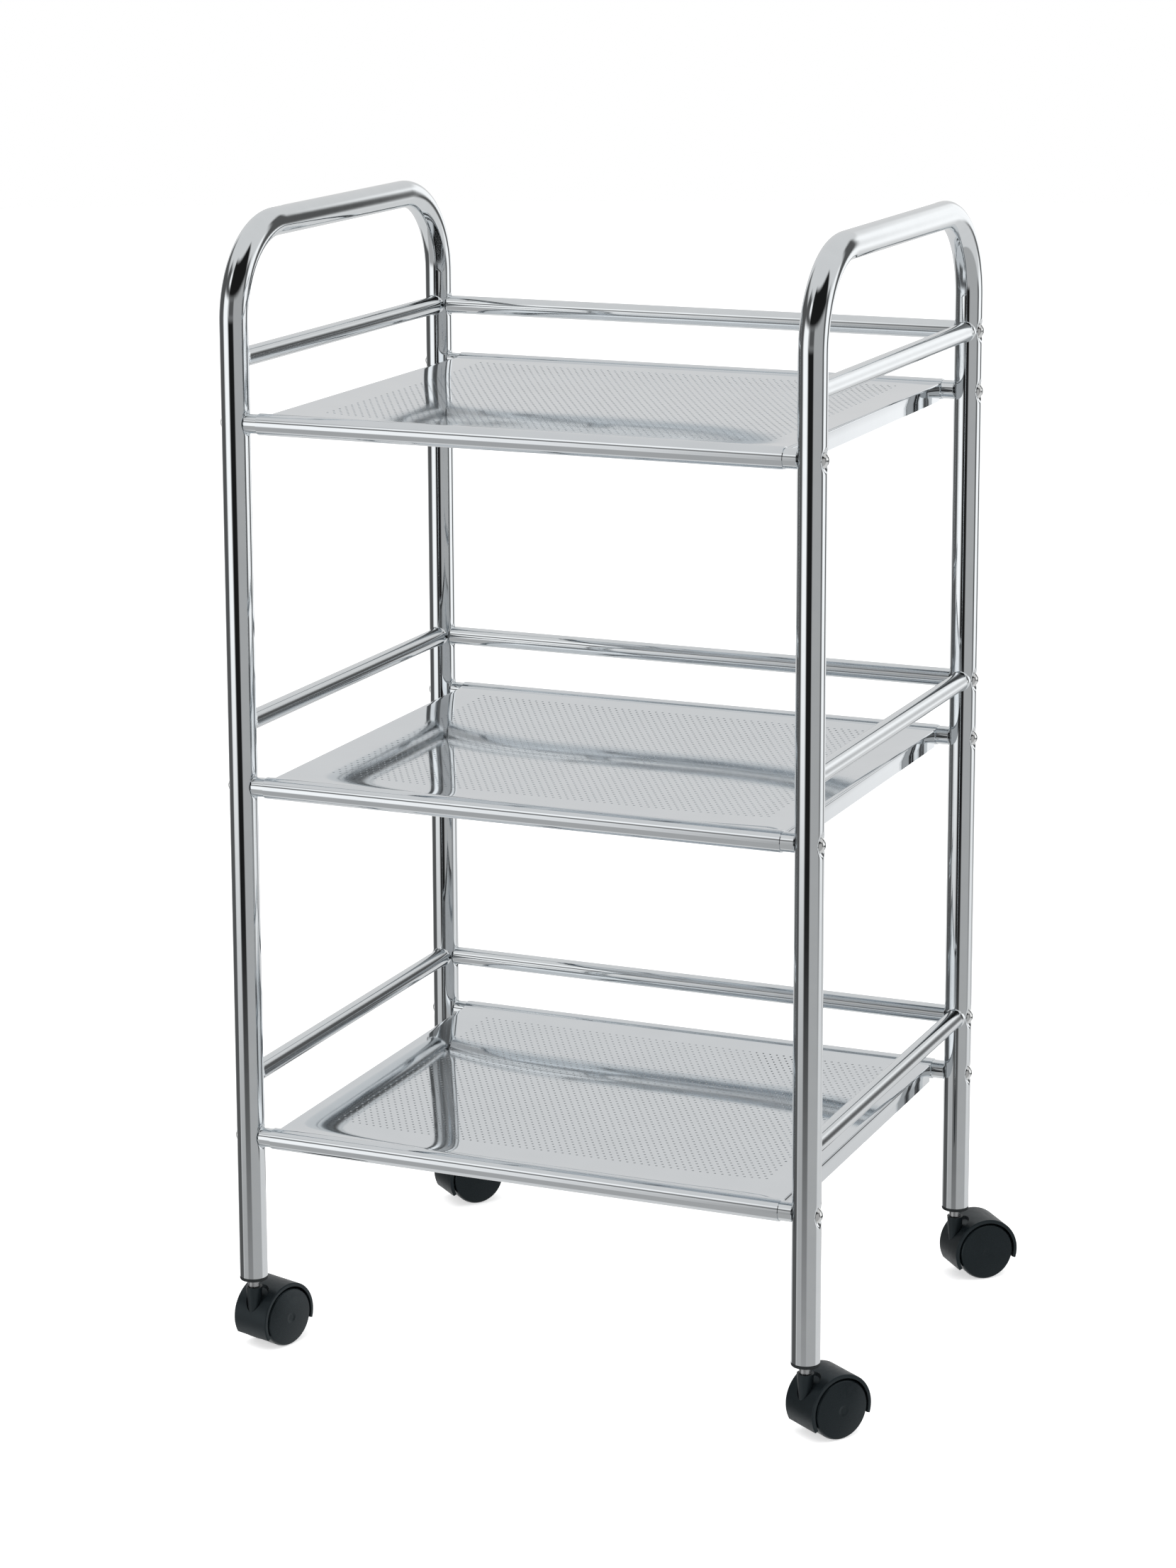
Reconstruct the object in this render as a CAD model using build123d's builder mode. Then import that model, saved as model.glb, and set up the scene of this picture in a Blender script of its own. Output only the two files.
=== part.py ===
"""Rolling salon trolley: two tube hoops, three rails a side, three sheet shelves and four twin-wheel casters.

Frame: origin on the floor under the middle of the trolley, +Z up, -Y the front, +X the right-hand side.
"""

import os
from math import cos, radians, sin, sqrt

from build123d import *

os.makedirs("parts", exist_ok=True)

# Driving dimensions, mm
SPAN_X = 462.0  # between the leg axes, left to right
SPAN_Y = 362.0  # between the leg axes, front to back
LEG_FOOT_Z = 61.0  # lower end of the leg tubes
HANDLE_Z = 886.0  # axis of the hoops' top bars
HOOP_DIA = 22.0
HOOP_WALL = 1.0
HOOP_BEND = 70.0
RAIL_DIA = 15.0
RAIL_WALL = 0.8
LOWEST_SHELF_Z = 176.5  # axis of the lowest shelf's support tubes
SHELF_PITCH = 282.0
RAIL_RISE = 48.0  # rail axis above the shelf's tube axis

HOOP_R = HOOP_DIA / 2
RAIL_R = RAIL_DIA / 2
LEG_X = SPAN_X / 2
LEG_Y = SPAN_Y / 2
LEVELS = {"bottom": 0, "middle": 1, "top": 2}
SHELF_Z = {name: LOWEST_SHELF_Z + SHELF_PITCH * step for name, step in LEVELS.items()}
RAIL_Z = {name: z + RAIL_RISE for name, z in SHELF_Z.items()}
SIDES = {"left": -1, "right": 1}

# Pressed seats in the legs, where a cross tube is bolted
SEAT_WIDTH = 18.0
SEAT_DEPTH = 3.4
SEAT_R = (SEAT_WIDTH**2 / 4 + SEAT_DEPTH**2) / (2 * SEAT_DEPTH)
SEAT_CENTRE = HOOP_R + SEAT_R - SEAT_DEPTH  # from the leg axis
TUBE_END = 10.0  # a cross tube's end, from the leg axis
CROSS_TUBE_LENGTH = SPAN_X - 2 * TUBE_END

# Screws and the threaded inserts in the tube ends
SCREW_DIA = 5.0
SCREW_HOLE_DIA = 5.4
OVERSHOOT = 1.0  # of a cut past the end it opens
SCREW_LENGTH = 30.0
HEAD_DIA = 11.5
HEAD_HEIGHT = 3.5
HEAD_EDGE = 0.6
HEAD_SEAT = 8.9  # underside of the head, from the leg axis
CROSS_WIDTH = 1.3
CROSS_SPAN = 5.4
CROSS_DEPTH = 1.7
INSERT_LENGTH = 14.0
THREAD_GAP = 0.05

# Shelves
SHEET = 0.8
SHELF_WIDTH = 421.0
ROLL_GAP = 0.05  # between the support tube and the edge rolled round it
ROLL_R = RAIL_R + ROLL_GAP + SHEET
RIM_Z = 5.5  # top of the rim, above the tube axis
DISH_DEPTH = 4.0
DISH_BORDER_X = 5.0
DISH_BORDER_Y = 12.0
DISH_SLOPE = 60.0
DISH_CORNER = 30.0
FLANGE_HEIGHT = 14.0
FLANGE_CORNER = 6.0
SEAM_REACH = 17.0
SEAM_TOP = 4.0
SEAM_FOOT = -11.0

# Leg plugs
PLUG_RIM = 2.5
PLUG_SPIGOT = 20.0
PLUG_FIT = 0.1
PLUG_EDGE_FILLET = 0.8
SOCKET_DIA = 8.6

# Casters, across from the middle plane and round the axle
TRAIL = 21.5
WHEEL_R = 23.5
WHEEL_INNER = 6.0
WHEEL_SHOULDER = 14.0
WHEEL_EDGE = 17.6
WHEEL_EDGE_R = 22.2
WHEEL_DOME = 19.4
WHEEL_CHAMFER = 1.0
SHOULDER_INSET = 0.32  # middle of the arc from the tread to the face, from the tread
SHOULDER_RISE = 2.05
DIMPLE_R = 4.5
DIMPLE_FLOOR_R = 2.5
DIMPLE_DEPTH = 0.35
HOOD_R = 27.5
HOOD_THICK = 2.9
HOOD_HALF = 17.2
HOOD_BACK = -17.0  # degrees from the trailing direction, round the axle
HOOD_FRONT = 208.0
WEB = 11.0
HUB_DIA = 13.0
BOSS_TOP_Z = 52.0
BOSS_FOOT_Z = 27.0
BOSS_TOP_DIA = 13.0
BOSS_FOOT_DIA = 9.0
SCOOP_TOP_R = 13.0
SCOOP_FOOT_R = 3.2
SCOOP_SKIN = 1.0
HOOD_EDGE_FILLET = 0.9
AXLE_DIA = 5.0
AXLE_LENGTH = 33.0
AXLE_CHAMFER = 0.5
RUNNING_GAP = 0.05  # radial, shaft in bore
STEM_DIA = 7.0
STEM_FOOT_Z = 31.0
STEM_TOP_Z = 79.0
STEM_TIP = 1.2
COLLAR_DIA = 9.6
COLLAR_GAP = 0.3
GROOVE_DIA = 6.2
RING_FOOT_Z = 62.0
RING_LENGTH = 13.0
RING_DIA = 8.5
RING_SLIT = 1.2
RING_GAP = 0.05

# Corner of the trolley, and the way each caster trails: degrees from +X towards +Y
CASTERS = {
    "front_left": (-1, -1, 73.0),
    "front_right": (1, -1, 56.0),
    "back_left": (-1, 1, 50.0),
    "back_right": (1, 1, 42.0),
}


def finish(piece, name):
    """Label a finished piece and write its STEP file."""
    piece.part.label = name
    export_step(piece.part, f"parts/{name}.step")


def seat_places(side, outward):
    """Centres of the spheres that press the screw seats (outward) or the tube seats (inward) in a hoop."""
    x = side * (LEG_X + outward * SEAT_CENTRE)
    shelf_seats = [(x, y, z) for y in (-LEG_Y, LEG_Y) for z in SHELF_Z.values()]
    rail_seats = [(x, LEG_Y, z) for z in RAIL_Z.values()]
    return shelf_seats + rail_seats


def screw_places(side):
    """Points on a hoop's leg axes where a screw passes through."""
    return [(side * LEG_X, y, z) for _, y, z in seat_places(side, 1)]


def hoop_path(foot_z):
    """Corners of a hoop's axis, in Y and Z, from one foot over the bar to the other."""
    return (-LEG_Y, foot_z), (-LEG_Y, HANDLE_Z), (LEG_Y, HANDLE_Z), (LEG_Y, foot_z)


# ---------------------------------------------------------------- hoops
for side_name, side in SIDES.items():
    hoop_x = side * LEG_X

    with BuildPart() as bore:
        with BuildLine(Plane.YZ.offset(hoop_x)):
            FilletPolyline(*hoop_path(LEG_FOOT_Z - OVERSHOOT), radius=HOOP_BEND)
        with BuildSketch(Plane((hoop_x, -LEG_Y, LEG_FOOT_Z - OVERSHOOT))):
            Circle(HOOP_R - HOOP_WALL)
        sweep()
        with Locations(*seat_places(side, 1), *seat_places(side, -1)):
            Sphere(SEAT_R + HOOP_WALL, mode=Mode.SUBTRACT)

    with BuildPart() as hoop:
        with BuildLine(Plane.YZ.offset(hoop_x)):
            FilletPolyline(*hoop_path(LEG_FOOT_Z), radius=HOOP_BEND)
        with BuildSketch(Plane((hoop_x, -LEG_Y, LEG_FOOT_Z))):
            Circle(HOOP_R)
        sweep()
        with Locations(*seat_places(side, 1), *seat_places(side, -1)):
            Sphere(SEAT_R, mode=Mode.SUBTRACT)
        add(bore.part, mode=Mode.SUBTRACT)
        with Locations(*screw_places(side)):
            Cylinder(SCREW_HOLE_DIA / 2, 2 * HOOP_DIA, rotation=(0, 90, 0), mode=Mode.SUBTRACT)
    finish(hoop, f"{side_name}_hoop")

# ---------------------------------------------------------------- side rails, coped to the legs
for side_name, side in SIDES.items():
    for level, rail_z in RAIL_Z.items():
        with BuildPart() as side_rail:
            with BuildSketch(Plane.XZ.offset(-LEG_Y)):
                with Locations((side * LEG_X, rail_z)):
                    Circle(RAIL_R)
                    Circle(RAIL_R - RAIL_WALL, mode=Mode.SUBTRACT)
            extrude(amount=SPAN_Y)
            with Locations(*[(side * LEG_X, y, rail_z) for y in (-LEG_Y, LEG_Y)]):
                Cylinder(HOOP_R, 3 * RAIL_DIA, mode=Mode.SUBTRACT)
        finish(side_rail, f"{side_name}_rail_{level}")


def cross_tube(y, z):
    """A straight tube between a front or back pair of legs, its ends in their pressed seats."""
    with BuildPart() as tube:
        with BuildSketch(Plane.YZ.offset(-CROSS_TUBE_LENGTH / 2)):
            with Locations((y, z)):
                Circle(RAIL_R)
                Circle(RAIL_R - RAIL_WALL, mode=Mode.SUBTRACT)
        extrude(amount=CROSS_TUBE_LENGTH)
    return tube


# ---------------------------------------------------------------- back rails and shelf support tubes
for level in LEVELS:
    finish(cross_tube(LEG_Y, RAIL_Z[level]), f"back_rail_{level}")
    finish(cross_tube(-LEG_Y, SHELF_Z[level]), f"{level}_shelf_front_tube")
    finish(cross_tube(LEG_Y, SHELF_Z[level]), f"{level}_shelf_back_tube")

# ---------------------------------------------------------------- shelves
DISH_TOP = (SHELF_WIDTH - 2 * DISH_BORDER_X, SPAN_Y - 2 * DISH_BORDER_Y)
DISH_FLOOR = (DISH_TOP[0] - 2 * DISH_SLOPE, DISH_TOP[1] - 2 * DISH_SLOPE)
FLANGE_HALF = LEG_Y - ROLL_R - SHEET

for level, tube_z in SHELF_Z.items():
    rim_top = tube_z + RIM_Z
    with BuildPart() as shelf:
        # flat plate whose front and back edges are rolled round the support tubes
        with BuildSketch(Plane.YZ.offset(-SHELF_WIDTH / 2)):
            with Locations((0, rim_top - SHEET / 2)):
                Rectangle(SPAN_Y, SHEET)
            with Locations((-LEG_Y, tube_z), (LEG_Y, tube_z)):
                Circle(ROLL_R)
            with Locations((-LEG_Y, tube_z), (LEG_Y, tube_z)):
                Circle(ROLL_R - SHEET, mode=Mode.SUBTRACT)
            for inward in (1, -1):  # each roll stays open on its inner side, under the plate
                tube_y = -inward * LEG_Y
                with BuildLine():
                    Polyline(
                        (tube_y, tube_z),
                        (tube_y + inward * SEAM_REACH, tube_z + SEAM_TOP),
                        (tube_y + inward * SEAM_REACH, tube_z + SEAM_FOOT),
                        close=True,
                    )
                make_face(mode=Mode.SUBTRACT)
        extrude(amount=SHELF_WIDTH)
        # down-turned side flanges
        for side in SIDES.values():
            with BuildSketch(Plane.YZ.offset(side * SHELF_WIDTH / 2)):
                with Locations((0, rim_top - FLANGE_HEIGHT / 2)):
                    flange = Rectangle(2 * FLANGE_HALF, FLANGE_HEIGHT)
                fillet(flange.vertices().group_by(Axis.Y)[0], FLANGE_CORNER)
            extrude(amount=-side * SHEET)
        # shallow dish pressed into the plate
        for top, mode in ((rim_top - SHEET, Mode.ADD), (rim_top, Mode.SUBTRACT)):
            with BuildSketch(Plane.XY.offset(top - DISH_DEPTH)):
                RectangleRounded(*DISH_FLOOR, DISH_CORNER)
            with BuildSketch(Plane.XY.offset(top)):
                RectangleRounded(*DISH_TOP, DISH_CORNER)
            loft(mode=mode)
    finish(shelf, f"{level}_shelf")

# ---------------------------------------------------------------- threaded inserts in the tube ends
for group, heights, rows in (
    ("shelf_tube_inserts", SHELF_Z, (-LEG_Y, LEG_Y)),
    ("back_rail_inserts", RAIL_Z, (LEG_Y,)),
):
    with BuildPart() as inserts:
        for side in SIDES.values():
            end_x = side * (LEG_X - TUBE_END)
            with BuildSketch(Plane.YZ.offset(end_x)):
                with Locations(*[(y, z) for y in rows for z in heights.values()]):
                    Circle(RAIL_R - RAIL_WALL - THREAD_GAP)
                    Circle(SCREW_DIA / 2 + THREAD_GAP, mode=Mode.SUBTRACT)
            extrude(amount=-side * INSERT_LENGTH)
    finish(inserts, group)

# ---------------------------------------------------------------- dome-head screws
DOME_R = (HEAD_DIA**2 / 4 + (HEAD_HEIGHT - HEAD_EDGE) ** 2) / (2 * (HEAD_HEIGHT - HEAD_EDGE))

for group, heights, y in (
    ("front_leg_screws", SHELF_Z, -LEG_Y),
    ("back_leg_screws", SHELF_Z, LEG_Y),
    ("back_rail_screws", RAIL_Z, LEG_Y),
):
    with BuildPart() as screws:
        for side in SIDES.values():
            head_x = side * (LEG_X + HEAD_SEAT)
            tip_x = head_x + side * HEAD_HEIGHT
            for z in heights.values():
                # half of the head's outline, turned round the screw's axis
                with BuildSketch(Plane.XZ.offset(-y)):
                    with BuildLine():
                        edge = (head_x + side * HEAD_EDGE, z + HEAD_DIA / 2)
                        rim = Polyline((tip_x, z), (head_x, z), (head_x, z + HEAD_DIA / 2), edge)
                        RadiusArc(rim @ 1, rim @ 0, side * DOME_R)
                    make_face()
                revolve(axis=Axis((0, y, z), (1, 0, 0)))
                with BuildSketch(Plane.YZ.offset(tip_x)):
                    with Locations((y, z)):
                        Rectangle(CROSS_SPAN, CROSS_WIDTH)
                        Rectangle(CROSS_WIDTH, CROSS_SPAN)
                extrude(amount=-side * CROSS_DEPTH, mode=Mode.SUBTRACT)
                with BuildSketch(Plane.YZ.offset(head_x)):
                    with Locations((y, z)):
                        Circle(SCREW_DIA / 2)
                extrude(amount=-side * SCREW_LENGTH)
    finish(screws, group)

# ---------------------------------------------------------------- leg plugs and casters
PLUG_FOOT_Z = LEG_FOOT_Z - PLUG_RIM
HOOD_INNER_R = HOOD_R - HOOD_THICK
HUB = (TRAIL, WHEEL_R)  # in a caster's middle plane, from the floor under the leg axis
FACE_R = (WHEEL_EDGE_R**2 + (WHEEL_DOME - WHEEL_EDGE) ** 2) / (2 * (WHEEL_DOME - WHEEL_EDGE))


def face_height(radius):
    """Height of a wheel's domed face at a radius, from the caster's middle plane."""
    return WHEEL_DOME - FACE_R + sqrt(FACE_R**2 - radius**2)


# all that lies below the hood's two edges, in a caster's middle plane
with BuildSketch() as open_below:
    with BuildLine():
        back_edge = PolarLine(HUB, 2 * HOOD_R, HOOD_BACK)
        front_edge = PolarLine(HUB, 2 * HOOD_R, HOOD_FRONT)
        Polyline(
            back_edge @ 1,
            (TRAIL + 2 * HOOD_R, -2 * HOOD_R),
            (TRAIL - 2 * HOOD_R, -2 * HOOD_R),
            front_edge @ 1,
        )
    make_face()

for corner, (side_x, side_y, heading) in CASTERS.items():
    leg = (side_x * LEG_X, side_y * LEG_Y)
    trailing = (cos(radians(heading)), sin(radians(heading)), 0)
    across = (trailing[1], -trailing[0], 0)
    middle = Plane((*leg, 0), x_dir=trailing, z_dir=across)
    hub_centre = (leg[0] + TRAIL * trailing[0], leg[1] + TRAIL * trailing[1], WHEEL_R)
    turning = Plane(hub_centre, x_dir=trailing, z_dir=(0, 0, -1))

    with BuildPart() as plug:
        with BuildSketch(Plane((*leg, PLUG_FOOT_Z))):
            Circle(HOOP_R)
        extrude(amount=PLUG_RIM)
        fillet(plug.edges().sort_by(Axis.Z)[0], PLUG_EDGE_FILLET)
        with BuildSketch(Plane((*leg, LEG_FOOT_Z))):
            Circle(HOOP_R - HOOP_WALL - PLUG_FIT)
        extrude(amount=PLUG_SPIGOT)
        with BuildSketch(Plane((*leg, PLUG_FOOT_Z))):
            Circle(SOCKET_DIA / 2)
        extrude(amount=PLUG_RIM + PLUG_SPIGOT, mode=Mode.SUBTRACT)
    finish(plug, f"{corner}_leg_plug")

    with BuildPart() as stem:
        with BuildSketch(Plane((*leg, STEM_FOOT_Z))):
            Circle(STEM_DIA / 2)
        extrude(amount=STEM_TOP_Z - STEM_FOOT_Z)
        chamfer(stem.edges().filter_by(GeomType.CIRCLE), STEM_TIP)
        with BuildSketch(Plane((*leg, BOSS_TOP_Z + COLLAR_GAP))):
            Circle(COLLAR_DIA / 2)
        extrude(amount=PLUG_FOOT_Z - BOSS_TOP_Z - COLLAR_GAP)
        with BuildSketch(Plane((*leg, RING_FOOT_Z))):
            Circle(STEM_DIA / 2)
            Circle(GROOVE_DIA / 2, mode=Mode.SUBTRACT)
        extrude(amount=RING_LENGTH, mode=Mode.SUBTRACT)
    finish(stem, f"{corner}_caster_stem")

    with BuildPart() as grip_ring:
        with BuildSketch(Plane((*leg, RING_FOOT_Z + RING_GAP), x_dir=trailing)):
            Circle(RING_DIA / 2)
            Circle(GROOVE_DIA / 2 + RING_GAP, mode=Mode.SUBTRACT)
            with Locations((RING_DIA / 2, 0)):
                Rectangle(RING_DIA, RING_SLIT, mode=Mode.SUBTRACT)
        extrude(amount=RING_LENGTH - 2 * RING_GAP)
    finish(grip_ring, f"{corner}_grip_ring")

    # pocket round the boss: a cone about the stem, above the skin that covers the wheels
    with BuildPart() as scoop:
        with BuildSketch(Plane((*leg, BOSS_FOOT_Z))):
            Circle(SCOOP_FOOT_R)
        with BuildSketch(Plane((*leg, BOSS_TOP_Z))):
            Circle(SCOOP_TOP_R)
        loft()
        with BuildSketch(middle):
            with Locations(HUB):
                Circle(HOOD_INNER_R + SCOOP_SKIN)
        extrude(amount=2 * HOOD_HALF, both=True, mode=Mode.SUBTRACT)

    with BuildPart() as housing:
        with BuildSketch(middle):
            with Locations(HUB):
                Circle(HOOD_R)
                Circle(HOOD_INNER_R, mode=Mode.SUBTRACT)
            add(open_below.sketch_local, mode=Mode.SUBTRACT)
        extrude(amount=HOOD_HALF, both=True)
        rims = housing.edges().filter_by(GeomType.CIRCLE).group_by(SortBy.RADIUS)[-1]
        fillet(rims, HOOD_EDGE_FILLET)
        add(scoop.part, mode=Mode.SUBTRACT)
        # web between the wheels, with the axle's hub
        with BuildSketch(middle):
            with Locations(HUB):
                Circle(HOOD_INNER_R + SCOOP_SKIN)
            add(open_below.sketch_local, mode=Mode.SUBTRACT)
            with Locations(HUB):
                Circle(HUB_DIA / 2)
        extrude(amount=WEB / 2, both=True)
        # boss for the stem, cut away where the wheels run
        with BuildSketch(Plane((*leg, BOSS_FOOT_Z))):
            Circle(BOSS_FOOT_DIA / 2)
        with BuildSketch(Plane((*leg, BOSS_TOP_Z))):
            Circle(BOSS_TOP_DIA / 2)
        loft()
        for hand in (1, -1):
            with BuildSketch(middle.offset(hand * WEB / 2)):
                with Locations(HUB):
                    Circle(HOOD_INNER_R)
            extrude(amount=hand * HOOD_HALF, mode=Mode.SUBTRACT)
        with BuildSketch(Plane((*leg, STEM_FOOT_Z - COLLAR_GAP))):
            Circle(STEM_DIA / 2 + RUNNING_GAP)
        extrude(amount=BOSS_TOP_Z - STEM_FOOT_Z + COLLAR_GAP + OVERSHOOT, mode=Mode.SUBTRACT)
        with BuildSketch(middle):
            with Locations(HUB):
                Circle(AXLE_DIA / 2)
        extrude(amount=WEB, both=True, mode=Mode.SUBTRACT)
    finish(housing, f"{corner}_caster_housing")

    with BuildPart() as axle:
        with BuildSketch(middle):
            with Locations(HUB):
                Circle(AXLE_DIA / 2)
        extrude(amount=AXLE_LENGTH / 2, both=True)
        chamfer(axle.edges().filter_by(GeomType.CIRCLE), AXLE_CHAMFER)
    finish(axle, f"{corner}_caster_axle")

    for hand_name, hand in SIDES.items():
        with BuildPart() as wheel:
            with BuildSketch(turning):
                with BuildLine():
                    bore_r = AXLE_DIA / 2 + RUNNING_GAP
                    bore_end = AXLE_LENGTH / 2 + COLLAR_GAP
                    dimple_z = hand * (WHEEL_DOME - DIMPLE_DEPTH)
                    body = Polyline(
                        (DIMPLE_FLOOR_R, dimple_z),
                        (0, dimple_z),
                        (0, hand * bore_end),
                        (bore_r, hand * bore_end),
                        (bore_r, hand * WHEEL_INNER),
                        (WHEEL_R - WHEEL_CHAMFER, hand * WHEEL_INNER),
                        (WHEEL_R, hand * (WHEEL_INNER + WHEEL_CHAMFER)),
                        (WHEEL_R, hand * WHEEL_SHOULDER),
                    )
                    shoulder = (WHEEL_R - SHOULDER_INSET, hand * (WHEEL_SHOULDER + SHOULDER_RISE))
                    edge = (WHEEL_EDGE_R, hand * WHEEL_EDGE)
                    ThreePointArc(body @ 1, shoulder, edge)
                    face_middle = (WHEEL_EDGE_R + DIMPLE_R) / 2
                    dimple_edge = (DIMPLE_R, hand * face_height(DIMPLE_R))
                    ThreePointArc(edge, (face_middle, hand * face_height(face_middle)), dimple_edge)
                    Line(dimple_edge, body @ 0)
                make_face()
            revolve(axis=Axis(hub_centre, across))
        finish(wheel, f"{corner}_caster_{hand_name}_wheel")
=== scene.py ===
"""Rolling salon trolley: chrome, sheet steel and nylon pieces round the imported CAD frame, in a white studio.

Metres, in the CAD frame: -Y is the front, +X the right-hand side, +Z up, the floor at z = 0.
"""

from math import atan2, cos, pi, radians, sin, sqrt

import bpy
import numpy as np
from mathutils import Matrix, Vector


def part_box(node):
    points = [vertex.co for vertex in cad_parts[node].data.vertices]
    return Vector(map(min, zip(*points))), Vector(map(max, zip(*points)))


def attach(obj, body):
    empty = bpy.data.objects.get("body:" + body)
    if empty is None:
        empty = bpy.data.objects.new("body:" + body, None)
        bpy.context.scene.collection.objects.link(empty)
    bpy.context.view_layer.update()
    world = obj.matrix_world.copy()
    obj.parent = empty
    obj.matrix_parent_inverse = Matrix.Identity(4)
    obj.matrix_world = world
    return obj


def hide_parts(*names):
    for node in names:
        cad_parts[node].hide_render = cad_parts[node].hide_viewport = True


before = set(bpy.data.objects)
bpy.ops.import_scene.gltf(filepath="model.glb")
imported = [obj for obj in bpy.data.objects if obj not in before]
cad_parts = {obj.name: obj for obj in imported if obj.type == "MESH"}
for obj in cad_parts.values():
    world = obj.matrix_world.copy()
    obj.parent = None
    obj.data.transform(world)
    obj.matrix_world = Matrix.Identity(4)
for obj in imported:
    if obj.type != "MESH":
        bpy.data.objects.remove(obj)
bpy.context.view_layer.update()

MM = 0.001

# ---------------------------------------------------------------- camera, at the photograph's viewing angle
CAMERA_PLACE = Vector((1.1737, -2.8042, 1.2022))
CAMERA_YAW = radians(23.052)  # to the left of +Y
CAMERA_PITCH = radians(11.371)  # down
CAMERA_ROLL = radians(-0.208)
CAMERA_LENS = 91.14
CAMERA_SHIFT = -0.12

forward = Vector((-sin(CAMERA_YAW), cos(CAMERA_YAW), 0))
level_right = Vector((cos(CAMERA_YAW), sin(CAMERA_YAW), 0))
straight_up = Vector((0, 0, 1))
look = forward * cos(CAMERA_PITCH) - straight_up * sin(CAMERA_PITCH)
head = straight_up * cos(CAMERA_PITCH) + forward * sin(CAMERA_PITCH)
camera_right = level_right * cos(CAMERA_ROLL) + head * sin(CAMERA_ROLL)
camera_up = head * cos(CAMERA_ROLL) - level_right * sin(CAMERA_ROLL)

camera_data = bpy.data.cameras.new("photo_camera")
camera_data.sensor_width = 36.0
camera_data.lens = CAMERA_LENS
camera_data.shift_y = CAMERA_SHIFT
camera = bpy.data.objects.new("photo_camera", camera_data)
bpy.context.scene.collection.objects.link(camera)
turn = Matrix((camera_right, camera_up, -look)).transposed().to_4x4()
camera.matrix_world = Matrix.Translation(CAMERA_PLACE) @ turn
bpy.context.scene.camera = camera
bpy.context.scene.view_settings.view_transform = "Standard"

# ---------------------------------------------------------------- measures from the frame
hoop_low, hoop_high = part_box("left_hoop")
HOOP_R = (hoop_high.x - hoop_low.x) / 2
LEG_X = -(hoop_high.x + hoop_low.x) / 2
LEG_Y = hoop_high.y - HOOP_R
LEG_FOOT = hoop_low.z
BAR_Z = hoop_high.z - HOOP_R
HOOP_BEND = 70 * MM
HOOP_WALL = 1.0 * MM
LEVELS = ("bottom", "middle", "top")
SIDES = {"left": -1, "right": 1}


def centre(node):
    """Middle of a CAD node's box."""
    low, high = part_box(node)
    return (low + high) / 2


SHELF_Z = {level: centre(f"{level}_shelf_front_tube").z for level in LEVELS}
RAIL_Z = {level: centre(f"back_rail_{level}").z for level in LEVELS}
rail_low, rail_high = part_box("back_rail_bottom")
RAIL_R = (rail_high.z - rail_low.z) / 2
RAIL_END = rail_high.x
RAIL_WALL = 0.8 * MM

# Pressed seats: spheres that push the leg's wall in
SEAT_R = 13.612 * MM
SEAT_CENTRE = 21.212 * MM  # from the leg axis
SEAT_SOFTNESS = 0.9 * MM


# ---------------------------------------------------------------- materials
MIX_FIRST, MIX_SECOND, MIX_RESULT = 6, 7, 2  # colour sockets of a Mix node


def new_material(name):
    """An empty node material with its Principled shader, its node maker and its link maker."""
    material = bpy.data.materials.new(name)
    material.use_nodes = True
    nodes = material.node_tree.nodes
    nodes.clear()
    output = nodes.new("ShaderNodeOutputMaterial")
    shader = nodes.new("ShaderNodeBsdfPrincipled")
    link = material.node_tree.links.new
    link(shader.outputs["BSDF"], output.inputs["Surface"])
    return material, shader, nodes, link


def noise(nodes, link, scale, detail=2.0):
    """Noise over the piece's own coordinates, so that it rides with the piece."""
    place = nodes.new("ShaderNodeTexCoord")
    texture = nodes.new("ShaderNodeTexNoise")
    texture.inputs["Scale"].default_value = scale
    texture.inputs["Detail"].default_value = detail
    link(place.outputs["Object"], texture.inputs["Vector"])
    return texture.outputs["Fac"]


def spread(nodes, link, value, low, high):
    """Maps a noise's middle range to low..high."""
    ranger = nodes.new("ShaderNodeMapRange")
    ranger.inputs["From Min"].default_value = 0.3
    ranger.inputs["From Max"].default_value = 0.7
    ranger.inputs["To Min"].default_value = low
    ranger.inputs["To Max"].default_value = high
    link(value, ranger.inputs["Value"])
    return ranger.outputs["Result"]


def bump(nodes, link, height, strength, distance, under=None):
    """A bump node, laid over another bump where one is given."""
    node = nodes.new("ShaderNodeBump")
    node.inputs["Strength"].default_value = strength
    node.inputs["Distance"].default_value = distance
    link(height, node.inputs["Height"])
    if under:
        link(under, node.inputs["Normal"])
    return node.outputs["Normal"]


def mixed_colour(nodes, link, factor, first, second):
    """One colour or the other, by a factor."""
    mix = nodes.new("ShaderNodeMix")
    mix.data_type = "RGBA"
    link(factor, mix.inputs["Factor"])
    mix.inputs[MIX_FIRST].default_value = (*first, 1)
    mix.inputs[MIX_SECOND].default_value = (*second, 1)
    return mix.outputs[MIX_RESULT]


METAL_GRAIN_SCALE = 2500


def metal(name, dark, light, rough, wave_scale, wave, grain):
    """Plated metal: slow waves and a fine grain in the surface, and a finish that varies a little."""
    material, shader, nodes, link = new_material(name)
    shader.inputs["Metallic"].default_value = 1.0
    cloud = noise(nodes, link, wave_scale * 1.7, 3.0)
    link(mixed_colour(nodes, link, cloud, dark, light), shader.inputs["Base Color"])
    smudge = noise(nodes, link, wave_scale * 4, 4.0)
    link(spread(nodes, link, smudge, *rough), shader.inputs["Roughness"])
    waves = bump(nodes, link, noise(nodes, link, wave_scale, 1.0), 1.0, wave)
    fine = bump(nodes, link, noise(nodes, link, METAL_GRAIN_SCALE, 2.0), 1.0, grain, waves)
    link(fine, shader.inputs["Normal"])
    return material


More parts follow.
